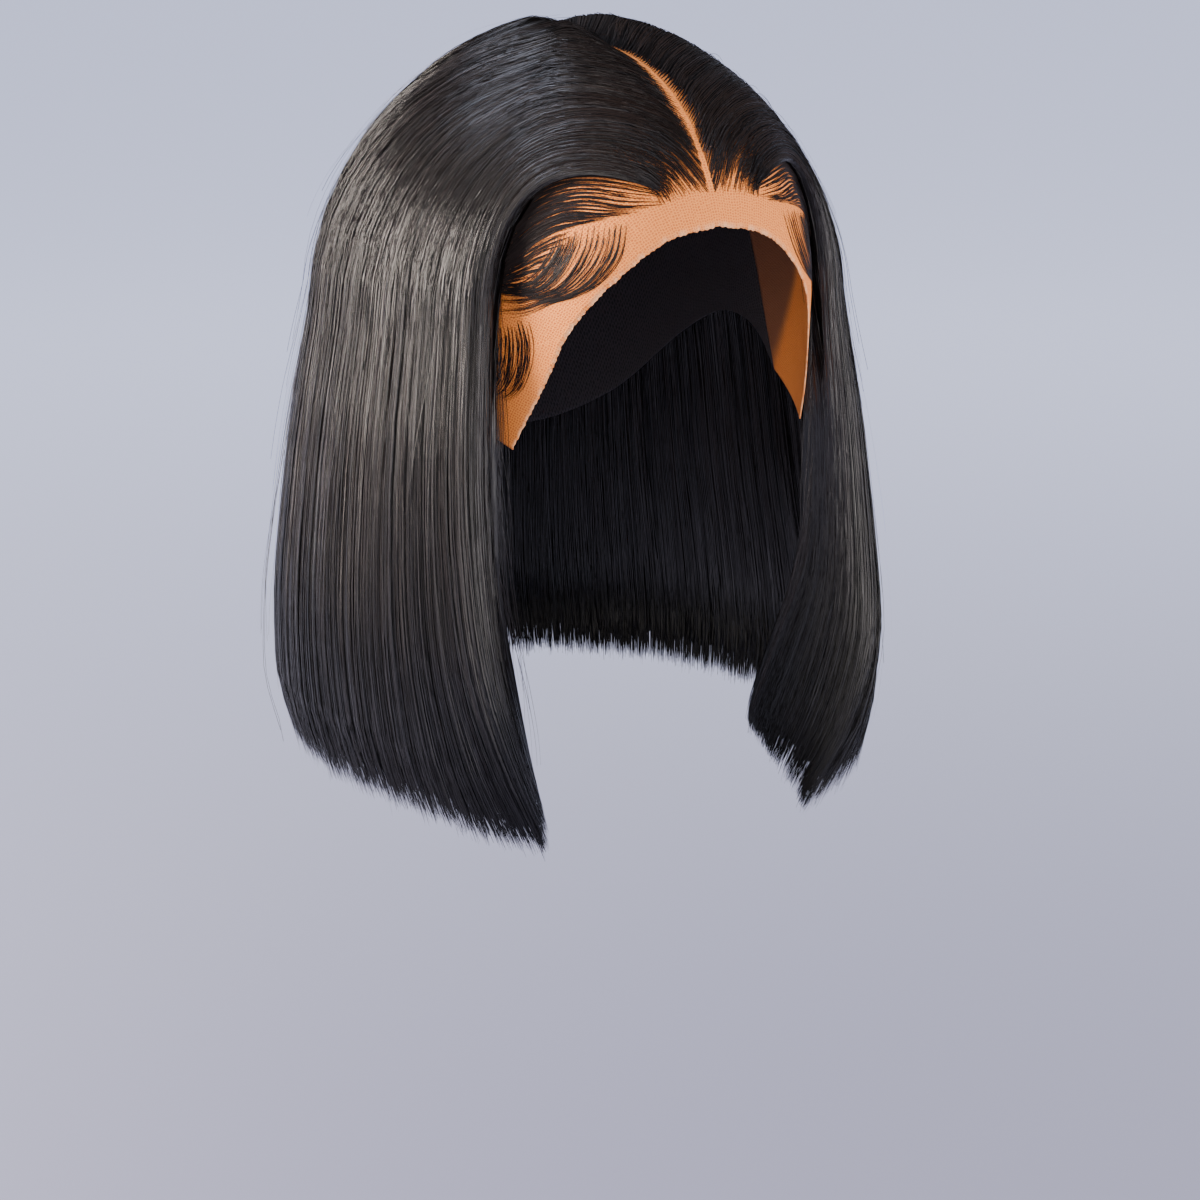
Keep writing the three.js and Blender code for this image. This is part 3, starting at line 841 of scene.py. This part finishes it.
# Zones of flat-laid strands on one side: guide arcs from the hair's edge outwards, how many strands,
# and where along the arcs they grow (from) and end (to).
zones = [
    dict(  # temple sweep
        arcs=[
            [(12, 58.5), (30, 54.5), (44, 55), (55, 61), (62.5, 72)],
            [(14, 62.5), (30, 59.5), (43, 59.5), (52.5, 64), (61.5, 77)],
            [(16, 64.6), (28, 64.8), (39, 63.8), (49, 66.5), (56, 72), (61.5, 80)],
            [(27.6, 66.8), (36, 67.2), (44, 68), (51, 71.5), (57, 77), (62, 82)],
            [(39, 68.4), (46, 71), (52, 74.5), (57.5, 78.5), (62.5, 82.5)],
            [(44, 76), (50, 78), (55.5, 80.5), (60, 82.5), (63, 83.5)],
            [(46.8, 85.4), (52.6, 85.3), (58.1, 84.8), (61.4, 84.5), (63, 84.5)],
        ],
        count=800,
        start=(0.0, 0.62),
        end=(0.92, 1.0),
        lift=(0.2, 2.6),
        overlap=2,  # how much higher the strands by the first arc lie
        bands=30,
        crowd=1.4,  # above 1, more strands lie by the first arc
    ),
    dict(  # temple swoop
        arcs=[
            [(27.1, 68.4), (29, 75.7), (34.3, 81.9), (40.4, 85.1), (46.3, 86.9), (52.1, 89.5), (60, 91)],
            [(39, 68.9), (40, 74), (43.1, 79.6), (47.3, 83.6), (54.7, 85.4), (60.3, 85.4), (63, 85.4)],
            [(45, 71), (46.5, 75), (49.5, 79), (53, 82), (58, 83.5), (62, 84), (63, 84.2)],
        ],
        count=140,
        start=(0.0, 0.16),
        end=(0.6, 1.0),
        lift=(0.2, 0.6),
        overlap=1,
        bands=17,
        crowd=1,
    ),
    dict(  # sideburn swoop
        arcs=[
            [(52.1, 90.5), (50.6, 95.5), (50.7, 100.6), (52.9, 107.1), (56.1, 110.3), (60.6, 112)],
            [(60.4, 92.2), (60.4, 97.5), (61.1, 104.7), (62.1, 107.4), (64, 109), (66, 110)],
        ],
        count=80,
        start=(0.0, 0.3),
        end=(0.6, 1.0),
        lift=(0.2, 0.8),
        overlap=1,
        bands=9,
        crowd=1,
    ),
]
hairline = dict(
    width=(0.15, 0.3),
    segments=16,
    pull=0.88,  # how closely the strands of a band lie together
    frontRoots=390,
    partingRoots=260,
    partingZone=0.022,  # share of the length beside the parting where single roots show
)


def fineStrands(rng, line, out):  # thin at the root and drawn to a point
    count, samples = line.shape[:2]
    t = np.linspace(0, 1, samples)[None, :]
    width = rng.uniform(*hairline["width"], (count, 1)) * mix(0.6, 1, smoothStep(t, 0, 0.2))
    width = width * mix(1, 0.3, smoothStep(t, 0.65, 1))
    twist, tone = rng.normal(0, 0.3, (count, 1)) + 0 * t, rng.uniform(0, 0.7, (count, 1))
    return ribbons(line, out, width, twist, tone)


def hairlineSide(rng):
    lots = []
    for zone in zones:
        arcs = [headArc(arc) for arc in zone["arcs"]]
        count = zone["count"]
        family = rng.uniform(0, 1, count) ** zone["crowd"] * (len(arcs) - 1)
        start = rng.uniform(*zone["start"], count)
        start = start * np.clip(family + 0.2, 0.4, 1)
        end = rng.uniform(*zone["end"], count)
        s = mix(start[:, None], end[:, None], np.linspace(0, 1, hairline["segments"] + 1)[None, :])
        drift = rng.normal(0, 0.05, (count, 1)) * (s - start[:, None]) * 2
        band = np.round(family / (len(arcs) - 1) * zone["bands"]) / zone["bands"] * (len(arcs) - 1)
        f = mix(family[:, None], band[:, None], hairline["pull"]) + drift
        f = np.clip(f, 0, len(arcs) - 1)
        i = np.clip(f.astype(int), 0, len(arcs) - 2)
        marks = np.zeros(s.shape + (2,))
        lines = np.stack([arc(s) for arc in arcs])
        for k in range(len(arcs) - 1):
            here = (i == k)[..., None]
            marks = np.where(here, mix(lines[k], lines[k + 1], (f - k)[..., None]), marks)
        sway, pace = rng.normal(0, 0.22, (count, 1, 2)), rng.uniform(4, 9, (count, 1, 1))
        marks = marks + sway * np.sin(pace * s[..., None] + rng.uniform(0, 6.28, (count, 1, 1)))
        low, high = zone["lift"]
        lift = mix(low, high, smoothStep(s, 0.55, 1)) * rng.uniform(0.5, 1.2, (count, 1))
        lift = lift * mix(zone["overlap"], 1, smoothStep(family, 0, 1.5))[:, None]
        line = onLace(marks, wall["lace"] + lift)
        out = unit(line - np.array([0, 0, -95.0]))
        lots.append(fineStrands(rng, line, out))

    # roots between the hairline and the mass, at the front of the parting
    count = hairline["frontRoots"]
    number = np.clip(rootBundle(3 * rng.uniform(0, 1, count) ** 1.3) + rng.normal(0, 0.01, count), 0, 3)
    long, short = rng.uniform(0.3, 0.45, (count, 1)), rng.uniform(0.08, 0.2, (count, 1))
    share = np.linspace(0, 1, 17)[None, :] * mix(long, short, number[:, None] / 3)
    line, out = strandLines(number[:, None] + 0 * share, share, lambda o, i: o + 0.1)
    rootAngle = np.interp(number, [0, 1, 2, 3], [17.5, 9.5, 1.5, 0.9])
    behind = np.interp(number, [2, 3], [57, 48])
    tilt = mix(behind, hairlineTilt(rootAngle), rng.uniform(0, 1, count) ** 1.2)
    root = onLace(np.stack([rootAngle, tilt], -1), wall["lace"] + 0.15)
    line = line + (root - line[:, 0])[:, None, :] * (1 - smoothStep(share, 0, 0.1))[..., None]
    lots.append(fineStrands(rng, line, out))

    # roots beside the bare parting
    count = hairline["partingRoots"]
    number = rootBundle(rng.uniform(2, 7.2, count)) + rng.normal(0, 0.012, count)
    start = hairline["partingZone"] * rng.uniform(0, 1, (count, 1)) ** 0.8
    share = start + np.linspace(0, 1, 13)[None, :] * rng.uniform(0.05, 0.13, (count, 1))
    line, out = strandLines(number[:, None] + 0 * share, share, lambda o, i: o)
    line[..., 0] += (rng.uniform(-1.0, 0.7, count)[:, None]) * (1 - smoothStep(share, 0, 0.02))
    lots.append(fineStrands(rng, line, out))
    return joined(lots)


for side, seed in (("Right", 31), ("Left", 32)):
    part = hairlineSide(np.random.default_rng(seed))
    part = mirroredX(part) if side == "Left" else part
    strandPiece("hairline" + side, part, fineFibre)
    print("hairline", side.lower(), "made:", len(part["faces"]) * 2, "triangles")


fly = dict(count=190, loose=26, lift=(0.5, 7.0), width=(0.12, 0.22))


def flyaways(rng):
    count = fly["count"]
    number = rng.uniform(0, lastPath, count)
    start = rng.uniform(0, 0.6, count)
    end = np.minimum(start + rng.uniform(0.15, 0.5, count), 1.01)
    s = mix(start[:, None], end[:, None], np.linspace(0, 1, 21)[None, :])
    n = number[:, None] + rng.normal(0, 0.35, (count, 1)) * (s - start[:, None]) / 0.3
    n = np.clip(n, 0, lastPath)
    lift = rng.uniform(*fly["lift"], (count, 1)) * smoothStep(s, start[:, None], end[:, None]) ** 1.2
    arch = np.sin(3.1 * np.clip((s - start[:, None]) / 0.5, 0, 1))
    lift = lift * (1 - 0.5 * arch * rng.uniform(0, 1, (count, 1)))
    base, way, outer, inner = hairDepth(n, s)
    line = base + way * (outer + lift)[..., None]
    width = rng.uniform(*fly["width"], count)[:, None] + 0 * s
    twist, tone = rng.normal(0, 0.6, (count, 1)) + 0 * s, rng.uniform(0.2, 0.9, (count, 1))
    lots = [ribbons(line, way, width, twist, tone)]

    # hairs that hang clear of the front edge, on the side of the face
    count = fly["loose"]
    start = rng.uniform(0.42, 0.8, (count, 1))
    t = np.linspace(0, 1, 21)[None, :]
    s = mix(start, np.minimum(start + rng.uniform(0.12, 0.35, (count, 1)), 1), t)
    base, way, outer, inner = hairDepth(0.1 + 0 * s, s)
    line = base + way * (outer * 0.6)[..., None]
    clear, bow = rng.uniform(1, 7, (count, 1)), rng.uniform(0.5, 1, (count, 1))
    line[..., 0] += clear * np.sin(math.pi * np.minimum(t * bow, 1))
    width = rng.uniform(*fly["width"], count)[:, None] * mix(1, 0.4, smoothStep(t, 0.6, 1))
    forward = np.array([0, -1.0, 0]) + 0 * line
    lots.append(ribbons(line, forward, width, 0 * s, rng.uniform(0.3, 1, (count, 1))))
    return joined(lots)


rightFly, leftFly = flyaways(np.random.default_rng(41)), mirroredX(flyaways(np.random.default_rng(42)))
part = joined([rightFly, leftFly])
strandPiece("flyawayHairs", part, hairFibre)
print("flyaways made:", len(part["faces"]) * 2, "triangles")


room = dict(
    floorHeight=-0.62,
    floorRadius=60,
    floorColour="#d5d8ec",
    # painted shade on the floor close to the wig, fading out by litFrom
    shadedColour="#74758a",
    litFrom=3.8,  # metres from the wig
    # painted light: the floor glows of itself, more the further it is from the wig
    glow=1.32,
    glowColour="#b9bfdf",
    air="#c9ccda",
    airStrength=0.32,
)


def floorMaterial():
    # Studio floor, matt, with painted light: painted shade darkens it close to the wig, as a stand would
    # shade it, and further off it glows of itself, a painted lit lavender backdrop.
    material, tree = newMaterial("floorPaintedShadeAndGlow")
    spot = addNode(tree, "ShaderNodeNewGeometry")
    flat = {"operation": "MULTIPLY", 1: (1, 1, 0)}
    level = addNode(tree, "ShaderNodeVectorMath", flat, {0: spot.outputs["Position"]})
    far = addNode(tree, "ShaderNodeVectorMath", {"operation": "LENGTH"}, {0: level.outputs[0]})
    lit = addNode(
        tree,
        "ShaderNodeMapRange",
        {"interpolation_type": "SMOOTHSTEP", "From Min": 0.0, "From Max": room["litFrom"]},
        {"Value": far.outputs["Value"]},
    )
    ramp = addNode(tree, "ShaderNodeMix", {"data_type": "RGBA"}, {0: lit.outputs["Result"]})
    ramp.inputs[6].default_value = colour(room["shadedColour"])
    ramp.inputs[7].default_value = colour(room["floorColour"])
    most = {"operation": "MULTIPLY", 1: room["glow"]}
    glow = addNode(tree, "ShaderNodeMath", most, {0: lit.outputs["Result"]})
    shader = addNode(
        tree,
        "ShaderNodeBsdfPrincipled",
        {"Roughness": 0.9, "Emission Color": colour(room["glowColour"])},
        {"Base Color": ramp.outputs[2], "Emission Strength": glow.outputs["Value"]},
    )
    finishMaterial(tree, shader)
    return material


turn = np.linspace(0, 2 * math.pi, 97)[:-1]
rings = np.array([0.5, 2, 6, 20, room["floorRadius"]]) / mm
points = [np.zeros((1, 3))] + [np.stack([r * np.cos(turn), r * np.sin(turn), 0 * turn], -1) for r in rings]
points = np.vstack(points) + np.array([0, 0, room["floorHeight"] / mm])
faces = []
k = np.arange(96)
for ring in range(len(rings) - 1):
    a, b = 1 + ring * 96, 1 + (ring + 1) * 96
    faces.append(np.stack([a + k, b + k, b + (k + 1) % 96, a + (k + 1) % 96], -1))
middle = np.stack([0 * k, 1 + k, 1 + (k + 1) % 96], -1)
floor = meshFrom("floor", points, np.vstack(faces), smooth=False)
centre = meshFrom("floorMiddle", points, middle, smooth=False)
for ground in (floor, centre):
    ground.data.materials.append(floorMaterial())

world = bpy.data.worlds.new("studioAir")
bpy.context.scene.world = world
world.use_nodes = True
world.node_tree.nodes["Background"].inputs["Color"].default_value = colour(room["air"])
world.node_tree.nodes["Background"].inputs["Strength"].default_value = room["airStrength"]

viewAngle, viewLift, viewDistance = math.radians(32), math.radians(9), 1.7
level = math.cos(viewLift)
back = Vector((-math.sin(viewAngle) * level, -math.cos(viewAngle) * level, math.sin(viewLift)))
right = Vector((math.cos(viewAngle), -math.sin(viewAngle), 0))
up = back.cross(right)
viewCentre = Vector((0, 0, -0.13))
eye = viewCentre + back * viewDistance
aim = viewCentre + right * 0.0056 - up * 0.0912  # the photograph's middle

cameraData = bpy.data.cameras.new("camera")
cameraData.lens = 127.5
cameraData.sensor_width = 36
cameraData.clip_end = 200
camera = bpy.data.objects.new("camera", cameraData)
camera.location = eye
camera.rotation_euler = (aim - eye).to_track_quat("-Z", "Y").to_euler()
bpy.context.scene.collection.objects.link(camera)
bpy.context.scene.camera = camera


def softBox(name, sideways, upwards, towards, size, power, tint):
    # placed from the object's middle along the camera's right, up and back, in metres
    data = bpy.data.lights.new(name, "AREA")
    data.shape = "SQUARE"
    data.size = size
    data.energy = power
    data.color = colour(tint)[:3]
    lamp = bpy.data.objects.new(name, data)
    target = Vector((0, 0, -0.14))
    lamp.location = target + right * sideways + Vector((0, 0, upwards)) + back * towards
    lamp.rotation_euler = (target - lamp.location).to_track_quat("-Z", "Y").to_euler()
    bpy.context.scene.collection.objects.link(lamp)


softBox("keyLight", -1.8, 0.5, 0.3, 0.85, 172, "#fff3e8")
softBox("topLight", -0.85, 1.85, 0.05, 1.0, 56, "#dde7ff")
softBox("frontLight", -0.35, 0.4, 2.0, 1.2, 22, "#fff6ee")
softBox("fillLight", 1.7, 0.15, 0.7, 1.0, 50, "#fff8f4")
print("floor, light and camera made")

print("scene made")
